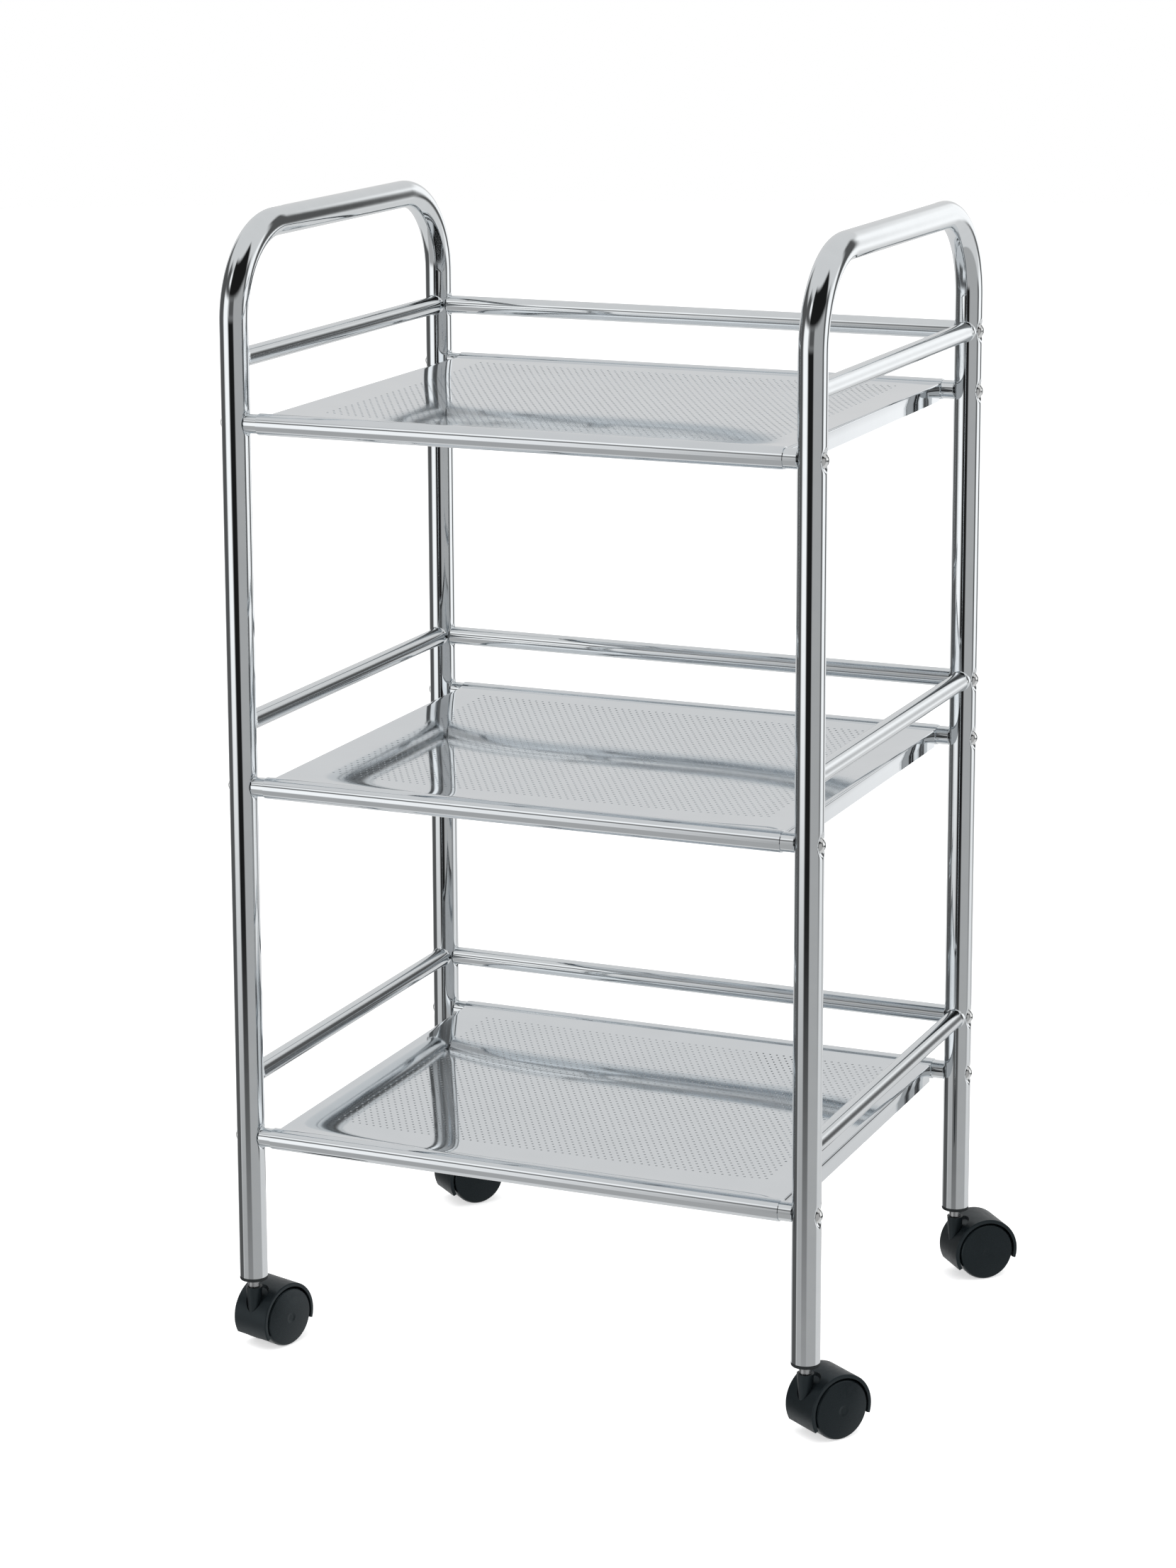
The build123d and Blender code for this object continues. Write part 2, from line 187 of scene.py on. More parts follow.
def plastic(name, dark, light, rough, grain_scale, grain):
    """Moulded black plastic with a fine spark-eroded grain."""
    material, shader, nodes, link = new_material(name)
    shader.inputs["IOR"].default_value = 1.5
    shader.inputs["Specular IOR Level"].default_value = 0.42
    shader.inputs["Specular Tint"].default_value = (0.78, 0.93, 1.0, 1.0)
    cloud = noise(nodes, link, 60, 3.0)
    link(mixed_colour(nodes, link, cloud, dark, light), shader.inputs["Base Color"])
    patches = noise(nodes, link, 240, 3.0)
    link(spread(nodes, link, patches, *rough), shader.inputs["Roughness"])
    texture = bump(nodes, link, noise(nodes, link, grain_scale, 3.0), 0.6, grain)
    link(texture, shader.inputs["Normal"])
    return material


CHROME = metal(
    "bright_chrome_tube", dark=(0.785, 0.815, 0.835), light=(0.845, 0.875, 0.895), rough=(0.03, 0.06),
    wave_scale=45, wave=0.015 * MM, grain=0.0012 * MM,
)
SHEET = metal(
    "bright_chrome_sheet", dark=(0.77, 0.80, 0.825), light=(0.83, 0.86, 0.885), rough=(0.03, 0.06),
    wave_scale=16, wave=0.03 * MM, grain=0.0012 * MM,
)
SCREW = metal(
    "nickel_screw", dark=(0.78, 0.79, 0.79), light=(0.85, 0.86, 0.86), rough=(0.08, 0.16),
    wave_scale=300, wave=0.004 * MM, grain=0.002 * MM,
)
ZINC = metal(
    "zinc_steel", dark=(0.55, 0.56, 0.57), light=(0.68, 0.69, 0.70), rough=(0.22, 0.36),
    wave_scale=200, wave=0.008 * MM, grain=0.004 * MM,
)
RIM_PLASTIC = plastic(
    "black_plug_plastic", dark=(0.008, 0.008, 0.008), light=(0.016, 0.016, 0.016), rough=(0.45, 0.6),
    grain_scale=2600, grain=0.02 * MM,
)
NYLON = plastic(
    "black_caster_nylon", dark=(0.0045, 0.0068, 0.0080), light=(0.0080, 0.0110, 0.0130), rough=(0.32, 0.42),
    grain_scale=2200, grain=0.03 * MM,
)
WHEEL_NYLON = plastic(
    "black_wheel_nylon", dark=(0.0022, 0.0038, 0.0048), light=(0.0045, 0.0068, 0.0082), rough=(0.24, 0.34),
    grain_scale=2600, grain=0.02 * MM,
)


# ---------------------------------------------------------------- mesh makers
def make_piece(name, vertices, faces, material, body, nodes, crease=35.0, sheet=0.0):
    """A smooth-shaded piece on a body, in place of CAD nodes; sheet is the thickness for an open surface."""
    mesh = bpy.data.meshes.new(name)
    mesh.from_pydata([tuple(map(float, v)) for v in vertices], [], faces)
    mesh.validate()
    piece = bpy.data.objects.new(name, mesh)
    bpy.context.scene.collection.objects.link(piece)
    if sheet:
        solid = piece.modifiers.new("thickness", "SOLIDIFY")
        solid.thickness = sheet
        solid.offset = -1.0
        solid.use_even_offset = True
        bpy.context.view_layer.update()
        solid_piece = piece.evaluated_get(bpy.context.evaluated_depsgraph_get())
        solid_mesh = bpy.data.meshes.new_from_object(solid_piece)
        piece.modifiers.clear()
        piece.data = solid_mesh
        bpy.data.meshes.remove(mesh)
        solid_mesh.name = name
        mesh = solid_mesh
    mesh.polygons.foreach_set("use_smooth", [True] * len(mesh.polygons))
    mesh.set_sharp_from_angle(angle=radians(crease))
    mesh.materials.clear()
    mesh.materials.append(material)
    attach(piece, body)
    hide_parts(*nodes)
    return piece


def closed_tube(outer, inner):
    """Vertices and faces of a tube from two arrays of rings (ring, step, xyz), with a rim at each end."""
    rings, steps = outer.shape[:2]
    inner_start = rings * steps
    faces = []
    for ring in range(rings - 1):
        for step in range(steps):
            after = (step + 1) % steps
            low, high = ring * steps, (ring + 1) * steps
            faces.append((low + step, low + after, high + after, high + step))
            low, high = inner_start + low, inner_start + high
            faces.append((low + step, high + step, high + after, low + after))
    last = (rings - 1) * steps
    for step in range(steps):
        after = (step + 1) % steps
        faces.append((step, inner_start + step, inner_start + after, after))
        faces.append((last + step, last + after, inner_start + last + after, inner_start + last + step))
    vertices = np.concatenate([outer.reshape(-1, 3), inner.reshape(-1, 3)])
    return vertices, faces


def ring_angles(steps):
    """Evenly spaced angles round a ring."""
    return np.linspace(0, 2 * pi, steps, endpoint=False)


# ---------------------------------------------------------------- hoops
LEG_STEPS = 72
BEND_STATIONS = 26
COARSE_STATIONS = 36
SMALLEST_GAP = 0.2 * MM  # between two rings of a leg
SEAT_STATION = 0.7 * MM
SEAT_REACH = 12 * MM
SEAT_FADE_END = 6 * SEAT_SOFTNESS  # beyond the seat's sphere, where its effect ends
SEAT_FADE = 3 * SEAT_SOFTNESS
FOOT_BEVEL = 0.3 * MM


def stations_between(start, end, seats):
    """Heights of the rings up a leg: close together at the seats and far apart between them."""
    coarse = np.linspace(start, end, COARSE_STATIONS)
    fine = [np.arange(z - SEAT_REACH, z + SEAT_REACH, SEAT_STATION) for z in seats]
    heights = np.sort(np.concatenate([coarse, *fine, [start + FOOT_BEVEL]]))
    gaps = np.diff(heights, prepend=start - 1)  # the lowest ring always stays
    return heights[gaps > SMALLEST_GAP]


def hoop_line(seats_front, seats_back):
    """Centres and side directions of a hoop's rings, in the plane across X, from one foot to the other."""
    bend_z = BAR_Z - HOOP_BEND
    front = [(-LEG_Y, z, pi / 2) for z in stations_between(LEG_FOOT, bend_z, seats_front)]
    back = [(LEG_Y, z, -pi / 2) for z in stations_between(LEG_FOOT, bend_z, seats_back)][::-1]
    turn_steps = np.linspace(0, pi / 2, BEND_STATIONS + 1)[1:]
    rise = [
        (-LEG_Y + HOOP_BEND * (1 - cos(a)), bend_z + HOOP_BEND * sin(a), pi / 2 - a)
        for a in turn_steps
    ]
    fall = [(-y, z, -heading) for y, z, heading in rise[::-1]]
    return np.array(front + rise + fall + back)


def press(points, centres, radius):
    """Pushes points out of the seats' spheres, with a soft edge."""
    for middle in centres:
        away = points - middle
        distance = np.linalg.norm(away, axis=-1, keepdims=True)
        gap = (distance - radius) / SEAT_SOFTNESS
        pushed = radius + SEAT_SOFTNESS * 0.5 * (gap + np.sqrt(gap**2 + 0.25))
        near = distance < radius + SEAT_FADE_END
        fade = np.clip((radius + SEAT_FADE_END - distance) / SEAT_FADE, 0, 1)
        moved = middle + away * (distance + (pushed - distance) * fade) / distance
        points = np.where(near, moved, points)
    return points


def hoop_rings(side, radius, line, centres, sphere_radius):
    """Rings of one skin of a hoop."""
    angles = ring_angles(LEG_STEPS)
    rings = np.zeros((len(line), LEG_STEPS, 3))
    for ring, (y, z, heading) in zip(rings, line):
        ring[:, 0] = side * LEG_X + radius * np.cos(angles)
        ring[:, 1] = y - radius * np.sin(angles) * sin(heading)
        ring[:, 2] = z + radius * np.sin(angles) * cos(heading)
    return press(rings, centres, sphere_radius)


def hoop(side_name, side):
    """One bent tube with its pressed seats."""
    shelf_heights = list(SHELF_Z.values())
    back_heights = sorted(shelf_heights + list(RAIL_Z.values()))
    line = hoop_line(shelf_heights, back_heights)
    centres = [
        np.array((side * (LEG_X + outward * SEAT_CENTRE), y, z))
        for outward in (1, -1)
        for y, heights in ((-LEG_Y, shelf_heights), (LEG_Y, back_heights))
        for z in heights
    ]
    outer = hoop_rings(side, HOOP_R, line, centres, SEAT_R)
    inner = hoop_rings(side, HOOP_R - HOOP_WALL, line, centres, SEAT_R + HOOP_WALL)
    for end in (0, -1):
        middle = outer[end].mean(axis=0)
        outer[end] = middle + (outer[end] - middle) * (1 - FOOT_BEVEL / HOOP_R)
    vertices, faces = closed_tube(outer, inner)
    return make_piece(
        f"{side_name}_hoop_tube", vertices, faces, CHROME, "root", [f"{side_name}_hoop"]
    )


for side_name, side in SIDES.items():
    hoop(side_name, side)

# ---------------------------------------------------------------- rails and shelf tubes
RAIL_STEPS = 48
WELD = 0.9 * MM  # height of the weld's fillet on a side rail
WELD_REACH = 1.1 * MM
WELD_STATIONS = (0, 0.25, 0.5, 0.8, 1.2, 1.7, 2.4, 3.4, 5.0)  # mm from the leg, closer together in the fillet
TUBE_EASE = 0.2 * MM


def side_rail(side_name, side, level):
    """A rail welded between two legs: its ends follow the legs and flare into the weld."""
    angles = ring_angles(RAIL_STEPS)
    steps = np.array(WELD_STATIONS) * MM
    rail_z = RAIL_Z[level]

    def skin(radius, flare):
        rings = []
        for end in (-1, 1):
            half = []
            for step in steps:
                r = radius + flare * np.exp(-step / WELD_REACH)
                across, rise = r * np.cos(angles), r * np.sin(angles)
                reach = LEG_Y - np.sqrt(HOOP_R**2 - across**2) - step
                half.append(np.stack([side * LEG_X + across, end * reach, rail_z + rise], axis=1))
            rings += half if end < 0 else half[::-1]
        return np.array(rings)

    vertices, faces = closed_tube(skin(RAIL_R, WELD), skin(RAIL_R - RAIL_WALL, 0))
    faces = [face[::-1] for face in faces]
    node = f"{side_name}_rail_{level}"
    return make_piece(f"{node}_tube", vertices, faces, CHROME, "root", [node])


def cross_tube(node, y, z):
    """A straight tube between a pair of legs, with its edges eased."""
    angles = ring_angles(RAIL_STEPS)

    def ring(x, radius):
        across, rise = radius * np.cos(angles), radius * np.sin(angles)
        return np.stack([np.full(RAIL_STEPS, x), y + across, z + rise], axis=1)

    full = RAIL_END - TUBE_EASE
    places = ((-RAIL_END, TUBE_EASE), (-full, 0), (full, 0), (RAIL_END, TUBE_EASE))
    outer = np.array([ring(x, RAIL_R - cut) for x, cut in places])
    inner = np.array([ring(x, RAIL_R - RAIL_WALL) for x, cut in places])
    vertices, faces = closed_tube(outer, inner)
    return make_piece(f"{node}_tube", vertices, faces, CHROME, "root", [node])


for level in LEVELS:
    for side_name, side in SIDES.items():
        side_rail(side_name, side, level)
    cross_tube(f"back_rail_{level}", LEG_Y, RAIL_Z[level])
    cross_tube(f"{level}_shelf_front_tube", -LEG_Y, SHELF_Z[level])
    cross_tube(f"{level}_shelf_back_tube", LEG_Y, SHELF_Z[level])

# ---------------------------------------------------------------- shelves
SHEET_THICK = 0.8 * MM
shelf_low, shelf_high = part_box("bottom_shelf")
SHELF_HALF = shelf_high.x
ROLL_R = shelf_high.y - LEG_Y
RIM = 5.5 * MM  # top of the plate, above the tube axis
VALLEY_R = 3.0 * MM  # between the plate and the roll
VALLEY_Z = RIM + VALLEY_R
VALLEY_Y = sqrt((ROLL_R + VALLEY_R) ** 2 - VALLEY_Z**2)  # from the tube axis
SEAM_ANGLE = radians(327)
BEND_R = 1.5 * MM
FLANGE = 14 * MM
FLANGE_END = LEG_Y - ROLL_R - SHEET_THICK
FLANGE_CORNER = 6 * MM

DISH_DEPTH = 4.6 * MM
DISH_POWER_X = 5.0  # a high power keeps the middle flat and the fall near the edge
DISH_POWER_FRONT = 24.0
DISH_POWER_BACK = 2.6

HOLE_R = 1.0 * MM
HOLE_PITCH = 6.0 * MM
ROW_PITCH = 5.2 * MM
HOLES = 61
ROWS = 55
FIELD_FRONT = -131 * MM
HOLE_SIDES = 8

# Quads across each stretch of the shelf's skin
MARGIN_STEPS = 9  # from a side bend to the perforation
CORNER_STEPS = 5
FRONT_STEPS = 11  # from the front corner to the perforation
BACK_STEPS = 5
EDGE_STRIDE = 24  # columns of the plate to each quad along a rolled edge
VALLEY_STEPS = 5
ROLL_STEPS = 43
FLANGE_BEND_STEPS = 4


def dish(x, y):
    """Depth of the sheet's dish below its rim: a smooth pillow shape that ends at the rolls and the bends."""
    share_x = min(abs(x) / (SHELF_HALF - BEND_R), 1)
    share_y = min(abs(y) / (LEG_Y - VALLEY_Y), 1)
    power_y = DISH_POWER_BACK if y > 0 else DISH_POWER_FRONT
    return DISH_DEPTH * (1 - share_x**DISH_POWER_X) * (1 - share_y**power_y)


def plate_columns():
    """X of the plate's columns of vertices, two to each hole in the perforated field."""
    plate_x = SHELF_HALF - BEND_R
    field_x = HOLES * HOLE_PITCH / 2
    return np.concatenate([
        np.linspace(-plate_x, -field_x, MARGIN_STEPS + 1)[:-1],
        np.linspace(-field_x, field_x, 2 * HOLES + 1),
        np.linspace(field_x, plate_x, MARGIN_STEPS + 1)[1:],
    ])


def plate_rows():
    """Y of the plate's rows of vertices, close together where the flanges' front corners are round."""
    plate_y = LEG_Y - VALLEY_Y
    field_back = FIELD_FRONT + ROWS * ROW_PITCH
    turns = np.linspace(0, pi / 2, CORNER_STEPS + 1)
    corner = -FLANGE_END + FLANGE_CORNER * (1 - np.cos(turns))
    return np.concatenate([
        [-plate_y],
        corner,
        np.linspace(corner[-1], FIELD_FRONT, FRONT_STEPS + 1)[1:-1],
        np.linspace(FIELD_FRONT, field_back, 2 * ROWS + 1),
        np.linspace(field_back, FLANGE_END, BACK_STEPS + 1)[1:],
        [plate_y],
    ])


def roll_profile():
    """Distances in from the tube's axis and heights over it: the valley beside the plate, then the roll."""
    valley_turn = atan2(VALLEY_Z, VALLEY_Y)
    profile = []
    for a in np.linspace(0, pi / 2 - valley_turn, VALLEY_STEPS + 1)[1:]:
        profile.append((VALLEY_Y - VALLEY_R * sin(a), VALLEY_Z - VALLEY_R * cos(a)))
    for a in np.linspace(valley_turn, SEAM_ANGLE, ROLL_STEPS + 1)[1:]:
        profile.append((ROLL_R * cos(a), ROLL_R * sin(a)))
    return profile


def corner_lift(y):
    """How far the flange's lower edge rises in its round front corner."""
    from_end = min(max(y + FLANGE_END, 0), FLANGE_CORNER)
    return FLANGE_CORNER - sqrt(max(FLANGE_CORNER**2 - (FLANGE_CORNER - from_end) ** 2, 0))


class ShelfSkin:
    """Upper skin of one shelf, an open surface: perforated plate, rolled edges and side flanges."""

    def __init__(self, tube_z):
        self.points, self.faces = [], []
        self.numbers = {}  # of the vertices, by name
        self.tube_z = tube_z
        self.plate_z = tube_z + RIM
        self.columns, self.rows = plate_columns(), plate_rows()
        self.last_column, self.last_row = len(self.columns) - 1, len(self.rows) - 1
        self.field_columns = (MARGIN_STEPS, MARGIN_STEPS + 2 * HOLES)
        field_start = 1 + CORNER_STEPS + FRONT_STEPS
        self.field_rows = (field_start, field_start + 2 * ROWS)
        self.plain_plate()
        self.perforation()
        for end, row in ((-1, 0), (1, self.last_row)):
            self.rolled_edge(end, row)
        for side, column in ((-1, 0), (1, self.last_column)):
            self.flange(side, column)

    def at(self, key, place):
        """Number of the vertex with this name, which is made when it is new."""
        if key not in self.numbers:
            self.numbers[key] = len(self.points)
            self.points.append(place)
        return self.numbers[key]

    def strip(self, first, second, flipped):
        """Quads between two rows of vertices of the same length."""
        if flipped:
            first, second = second, first
        for step in range(len(first) - 1):
            self.faces.append((first[step], first[step + 1], second[step + 1], second[step]))

    def spot(self, column, row):
        """A vertex of the plate."""
        x, y = self.columns[column], self.rows[row]
        return self.at(("plate", column, row), (x, y, self.plate_z - dish(x, y)))

    def quad(self, column, row):
        """A plain face of the plate."""
        corners = ((0, 0), (1, 0), (1, 1), (0, 1))
        self.faces.append(tuple(self.spot(column + across, row + up) for across, up in corners))

    def plain_plate(self):
        """The plate round the perforated field."""
        first_column, last_column = self.field_columns
        first_row, last_row = self.field_rows
        for row in range(self.last_row):
            for column in range(self.last_column):
                if not (first_row <= row < last_row and first_column <= column < last_column):
                    self.quad(column, row)

    def perforated_cell(self, column, row):
        """Two by two quads' room with a hole in its middle."""
        round_cell = ((2, 1), (2, 2), (1, 2), (0, 2), (0, 1), (0, 0), (1, 0), (2, 0))
        outline = [self.spot(column + across, row + up) for across, up in round_cell]
        middle_x, middle_y = self.columns[column + 1], self.rows[row + 1]
        hole = []
        for step in range(HOLE_SIDES):
            x = middle_x + HOLE_R * cos(step * 2 * pi / HOLE_SIDES)
            y = middle_y + HOLE_R * sin(step * 2 * pi / HOLE_SIDES)
            hole.append(self.at(("hole", column, row, step), (x, y, self.plate_z - dish(x, y))))
        for step in range(HOLE_SIDES):
            after = (step + 1) % HOLE_SIDES
            self.faces.append((outline[step], outline[after], hole[after], hole[step]))

    def perforation(self):
        """Staggered rows of holes, with plain quads at both ends of every second row."""
        first_column, last_column = self.field_columns
        for step in range(ROWS):
            row, shift = self.field_rows[0] + 2 * step, step % 2
            for column in range(first_column + shift, last_column - 1, 2):
                self.perforated_cell(column, row)
            if shift:
                for half in (0, 1):
                    self.quad(first_column, row + half)
                    self.quad(last_column - 1, row + half)

    def rolled_edge(self, end, row):
        """Valley and roll at the front (-1) or back (1), with few columns, since they are straight."""
        first_column, last_column = self.field_columns
        stride = range(first_column, last_column + 1, EDGE_STRIDE)
        coarse = sorted({0, *stride, last_column, self.last_column})
        xs = [-SHELF_HALF, *[self.columns[column] for column in coarse], SHELF_HALF]
        lines = []
        for step, (inward, rise) in enumerate(roll_profile()):
            y, z = end * (LEG_Y - inward), self.tube_z + rise
            lines.append([self.at(("roll", end, step, n), (x, y, z)) for n, x in enumerate(xs)])
        edge_y = self.rows[row]
        left_end = self.at(("end", end, -1), (-SHELF_HALF, edge_y, self.plate_z))
        right_end = self.at(("end", end, 1), (SHELF_HALF, edge_y, self.plate_z))
        start = [left_end, *[self.spot(column, row) for column in coarse], right_end]
        for n in range(len(start) - 1):
            if 0 < n < len(start) - 2:
                fine = [self.spot(column, row) for column in range(coarse[n - 1], coarse[n] + 1)]
            else:
                fine = [start[n], start[n + 1]]
            face = (*fine, lines[0][n + 1], lines[0][n])
            self.faces.append(face if end > 0 else face[::-1])
        for low, high in zip(lines[:-1], lines[1:]):
            self.strip(low, high, flipped=end < 0)
        self.plate_corners(end, row)

    def plate_corners(self, end, row):
        """The plate's two corners beyond the flanges."""
        inner_row = row - end
        for side, column in ((-1, 0), (1, self.last_column)):
            x = side * SHELF_HALF
            outer_spot = self.at(("end", end, side), (x, self.rows[row], self.plate_z))
            inner_spot = self.at(("notch", end, side), (x, self.rows[inner_row], self.plate_z))
            face = (self.spot(column, row), outer_spot, inner_spot, self.spot(column, inner_row))
            self.faces.append(face if end * side < 0 else face[::-1])

    def flange(self, side, column):
        """Side flange, turned down round a small bend."""
        flange_rows = range(1, self.last_row)
        turns = np.linspace(0, pi / 2, FLANGE_BEND_STEPS + 1)[1:]
        drops = [(BEND_R * sin(a), BEND_R * (1 - cos(a))) for a in turns]
        drops += [(BEND_R, FLANGE / 2), (BEND_R, FLANGE)]
        previous = [self.spot(column, row) for row in flange_rows]
        for step, (out, down) in enumerate(drops):
            line = []
            for row in flange_rows:
                y = self.rows[row]
                is_edge = step == len(drops) - 1
                depth = min(down, FLANGE - corner_lift(y)) if is_edge else down
                place = (side * (SHELF_HALF - BEND_R + out), y, self.plate_z - depth)
                line.append(self.at(("flange", side, step, row), place))
            self.strip(previous, line, flipped=side > 0)
            previous = line


for level in LEVELS:
    skin = ShelfSkin(SHELF_Z[level])
    make_piece(
        f"{level}_shelf_sheet", skin.points, skin.faces, SHEET, "root",
        [f"{level}_shelf"], crease=40.0, sheet=SHEET_THICK,
    )


# ---------------------------------------------------------------- carried-over CAD nodes
def paint(node, material):
    """Gives a CAD node that stays its finished material."""
    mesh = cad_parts[node].data
    mesh.materials.clear()
    mesh.materials.append(material)


for node in ("shelf_tube_inserts", "back_rail_inserts"):
    paint(node, ZINC)
for node in ("front_leg_screws", "back_leg_screws", "back_rail_screws"):
    paint(node, SCREW)
CORNERS = ("front_left", "front_right", "back_left", "back_right")
for corner in CORNERS:
    paint(f"{corner}_leg_plug", RIM_PLASTIC)
    paint(f"{corner}_caster_stem", ZINC)
    paint(f"{corner}_grip_ring", ZINC)
    paint(f"{corner}_caster_axle", ZINC)
    paint(f"{corner}_caster_housing", NYLON)
    for hand in SIDES:
        paint(f"{corner}_caster_{hand}_wheel", WHEEL_NYLON)

# ---------------------------------------------------------------- studio: floor, world, cards, light
FLOOR_R = 9.0
DOME_R = 60.0


def stage_mesh(name, points, faces, material):
    """An object of the studio, not of the trolley."""
    mesh = bpy.data.meshes.new(name)
    mesh.from_pydata(points, [], faces)
    mesh.materials.append(material)
    thing = bpy.data.objects.new(name, mesh)
    bpy.context.scene.collection.objects.link(thing)
    return thing


def disc(radius, steps=96):
    """Points and the one face of a flat disc on the floor."""
    points = [(radius * cos(a), radius * sin(a), 0) for a in ring_angles(steps)]
    return points, [tuple(range(steps))]


def only_reflected(thing):
    """Leaves a thing of the studio to reflections alone."""
    for kind in ("camera", "diffuse", "shadow", "transmission", "volume_scatter"):
        setattr(thing, f"visible_{kind}", False)


floor_material, floor_shader, floor_nodes, floor_link = new_material("pale_floor")
floor_shader.inputs["Roughness"].default_value = 0.9
floor_shader.inputs["Specular IOR Level"].default_value = 0.0
floor_shader.inputs["Emission Color"].default_value = (1, 1, 1, 1)
floor_shader.inputs["Emission Strength"].default_value = 0.55
floor_tone = mixed_colour(
    floor_nodes, floor_link, noise(floor_nodes, floor_link, 2.0), (0.88, 0.88, 0.88), (0.90, 0.90, 0.90)
)
floor_link(floor_tone, floor_shader.inputs["Base Color"])
floor = stage_mesh("pale_floor", *disc(FLOOR_R), floor_material)
floor.visible_glossy = False

world = bpy.data.worlds.new("white_studio")
world.use_nodes = True
world.node_tree.nodes["Background"].inputs["Color"].default_value = (1, 1, 1, 1)
world.node_tree.nodes["Background"].inputs["Strength"].default_value = 1.0
bpy.context.scene.world = world

# Cards that only reflections see: plain tones in sRGB grey. Each covers a span of compass bearings and a
# span of heights above the horizon, in degrees. Bearing 0 is on the camera's side and negative is to its
# left. A later card lies over an earlier one, and what no card covers is PALE.
BLACK, DARK, GREY, PALE, WHITE = 25, 80, 160, 200, 245
CARDS = (
    # tone, bearings, heights
    (GREY, (-80, 80), (-90, 25)),  # the near half of the studio
    (DARK, (-140, -85), (-30, 30)),  # screen on the left
    (WHITE, (-80, -45), (-15, 20)),  # softbox on the left
    (BLACK, (-40, 0), (-20, 0)),  # the photographer's place
    (DARK, (-35, 0), (0, 20)),  # and what is above it
    (DARK, (70, 85), (-15, 25)),  # gap beside the softbox on the right
    (WHITE, (85, 115), (-15, 15)),  # softbox on the right
    (DARK, (115, 135), (-15, 30)),  # screen on the right
    (WHITE, (135, 160), (-15, 20)),  # softbox behind on the right
    (DARK, (-90, -45), (20, 45)),  # black cloth over the camera, and its thinner left side
    (BLACK, (-45, 70), (20, 60)),
    (WHITE, (-60, -45), (30, 45)),  # strip light on the left
)
CARD_EDGE = 10  # degrees over which a card fades
CARD_STRENGTH = 1.2  # makes up for what the chrome takes away


def colour_of(grey):
    """Linear colour of an sRGB grey of 0..255."""
    share = grey / 255
    light = ((share + 0.055) / 1.055) ** 2.4
    return (light, light, light, 1)


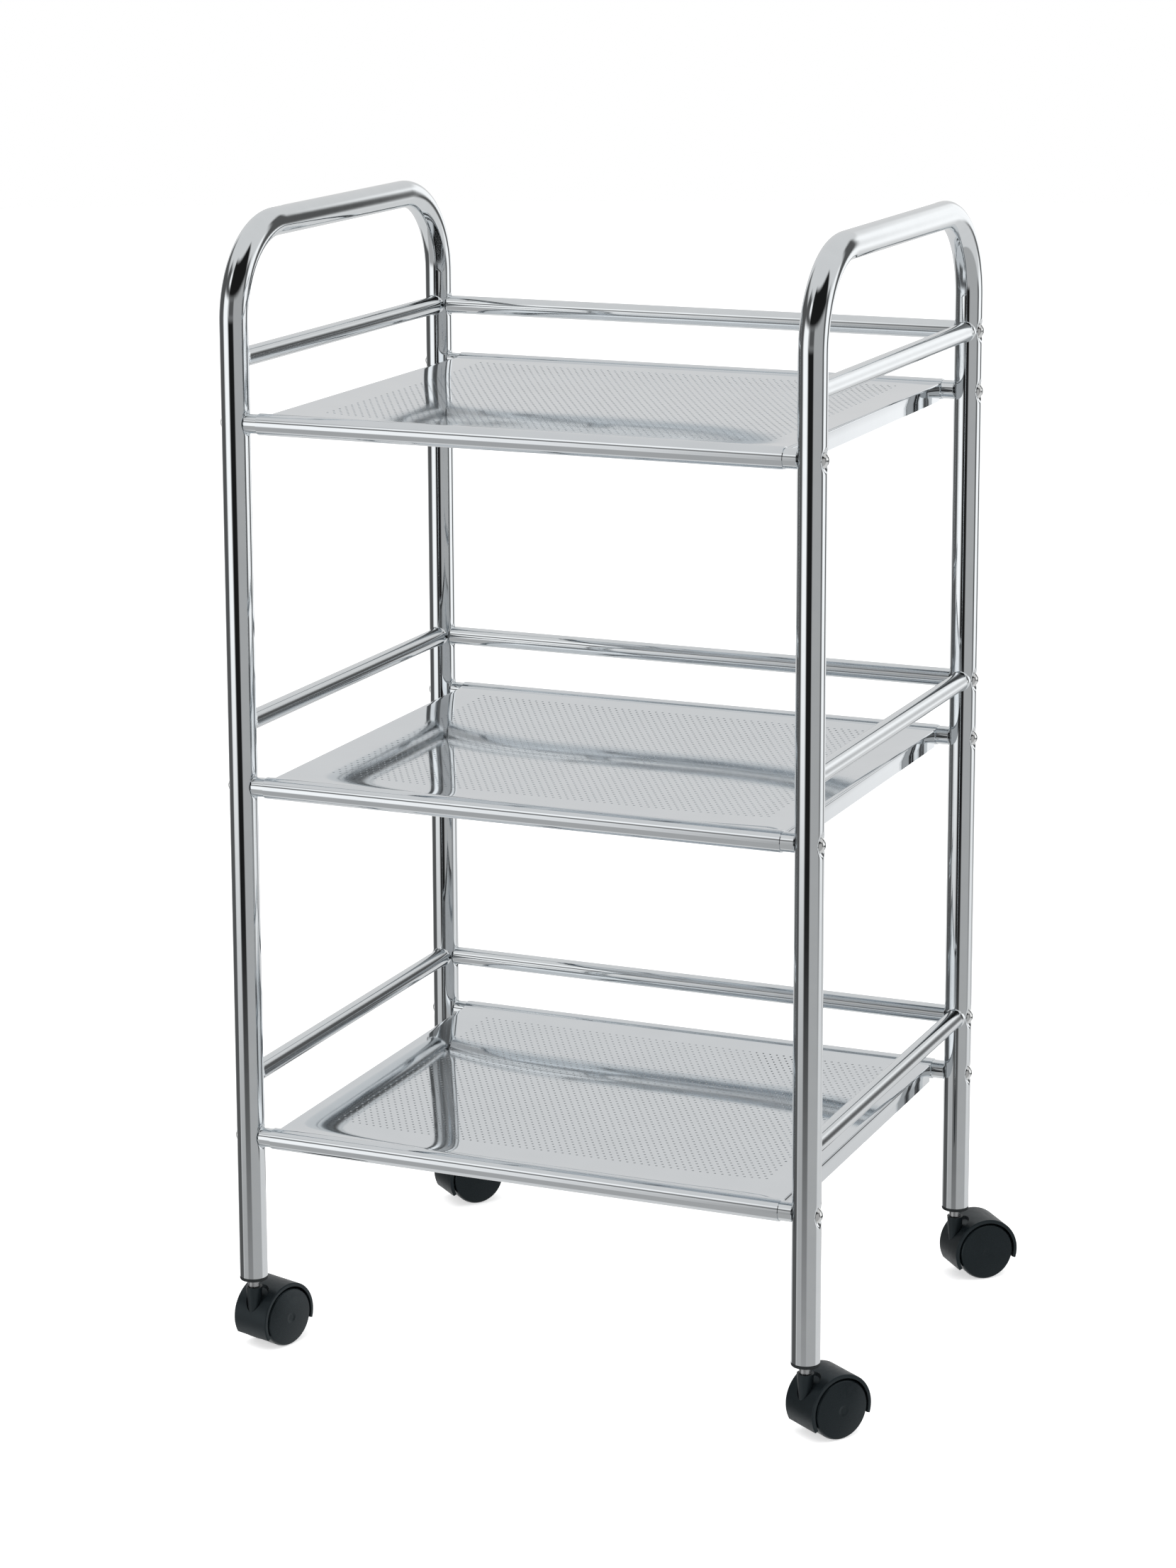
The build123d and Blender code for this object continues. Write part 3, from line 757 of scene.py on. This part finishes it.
class CardNodes:
    """Node maker for the emission of the reflected cards."""

    def __init__(self, name):
        self.material = bpy.data.materials.new(name)
        self.material.use_nodes = True
        self.nodes, self.link = self.material.node_tree.nodes, self.material.node_tree.links.new
        self.nodes.clear()
        output = self.nodes.new("ShaderNodeOutputMaterial")
        self.glow = self.nodes.new("ShaderNodeEmission")
        self.glow.inputs["Strength"].default_value = CARD_STRENGTH
        self.link(self.glow.outputs["Emission"], output.inputs["Surface"])
        place = self.nodes.new("ShaderNodeTexCoord")
        parts = self.nodes.new("ShaderNodeSeparateXYZ")
        self.link(place.outputs["Object"], parts.inputs["Vector"])
        left, ahead = self.maths("MULTIPLY", parts.outputs["X"], -1), parts.outputs["Y"]
        self.bearing = self.maths("DEGREES", self.maths("ARCTAN2", left, ahead))
        rise = self.maths("DIVIDE", parts.outputs["Z"], DOME_R)
        self.height = self.maths("DEGREES", self.maths("ARCSINE", rise))

    def feed(self, value, socket):
        """Links a socket to another, or sets it to a plain value."""
        if isinstance(value, bpy.types.NodeSocket):
            self.link(value, socket)
        else:
            socket.default_value = value

    def maths(self, kind, first, second=0.0):
        """A Math node over sockets or numbers."""
        node = self.nodes.new("ShaderNodeMath")
        node.operation = kind
        self.feed(first, node.inputs[0])
        self.feed(second, node.inputs[1])
        return node.outputs["Value"]

    def past(self, value, edge):
        """0 before an edge and 1 after it, fading over CARD_EDGE degrees."""
        node = self.nodes.new("ShaderNodeMapRange")
        node.interpolation_type = "SMOOTHSTEP"
        node.inputs["From Min"].default_value = edge - CARD_EDGE / 2
        node.inputs["From Max"].default_value = edge + CARD_EDGE / 2
        self.link(value, node.inputs["Value"])
        return node.outputs["Result"]

    def within(self, value, span):
        """1 inside a span of degrees and 0 outside it."""
        start, end = span
        before_end = self.maths("SUBTRACT", 1.0, self.past(value, end))
        return self.maths("MULTIPLY", self.past(value, start), before_end)

    def card(self, under, tone, bearings, heights):
        """A card of one tone over what lies under it."""
        across, upright = self.within(self.bearing, bearings), self.within(self.height, heights)
        inside = self.maths("MULTIPLY", across, upright)
        node = self.nodes.new("ShaderNodeMix")
        node.data_type = "RGBA"
        self.link(inside, node.inputs["Factor"])
        self.feed(under, node.inputs[MIX_FIRST])
        self.feed(colour_of(tone), node.inputs[MIX_SECOND])
        return node.outputs[MIX_RESULT]

    def finish(self, colour):
        """Lights the card with this colour."""
        self.link(colour, self.glow.inputs["Color"])
        return self.material


def dome_points(steps=64, rings=32):
    """Points and faces of the large sphere that carries the cards."""
    points = [(0, 0, -DOME_R)]
    for ring in range(1, rings):
        tilt = pi * ring / rings - pi / 2
        for a in ring_angles(steps):
            points.append((DOME_R * cos(tilt) * cos(a), DOME_R * cos(tilt) * sin(a), DOME_R * sin(tilt)))
    points.append((0, 0, DOME_R))
    faces = []
    top = 1 + (rings - 2) * steps
    for i in range(steps):
        after = (i + 1) % steps
        faces.append((0, 1 + i, 1 + after))
        faces.append((len(points) - 1, top + after, top + i))
        for ring in range(rings - 2):
            low, high = 1 + ring * steps, 1 + (ring + 1) * steps
            faces.append((low + i, high + i, high + after, low + after))
    return points, faces


def dome():
    """Cards all round the studio, by compass bearing and by height above the horizon."""
    cards = CardNodes("studio_cards")
    colour = colour_of(PALE)
    for tone, bearings, heights in CARDS:
        colour = cards.card(colour, tone, bearings, heights)
    shell = stage_mesh("studio_dome", *dome_points(), cards.finish(colour))
    # its own Y axis points to the camera's side, so that bearing 0 is there
    shell.rotation_euler = (0, 0, CAMERA_YAW + pi)
    only_reflected(shell)


dome()


def area_light(name, place, target, size, power):
    """A soft square light that looks at a point."""
    data = bpy.data.lights.new(name, "AREA")
    data.shape = "SQUARE"
    data.size = size
    data.energy = power
    light = bpy.data.objects.new(name, data)
    bpy.context.scene.collection.objects.link(light)
    light.location = place
    light.rotation_euler = (Vector(target) - Vector(place)).to_track_quat("-Z", "Y").to_euler()
    light.visible_glossy = False
    return light


area_light("overhead_softbox", place=(0.4, -0.8, 3.4), target=(0, 0, 0.3), size=3.0, power=60)
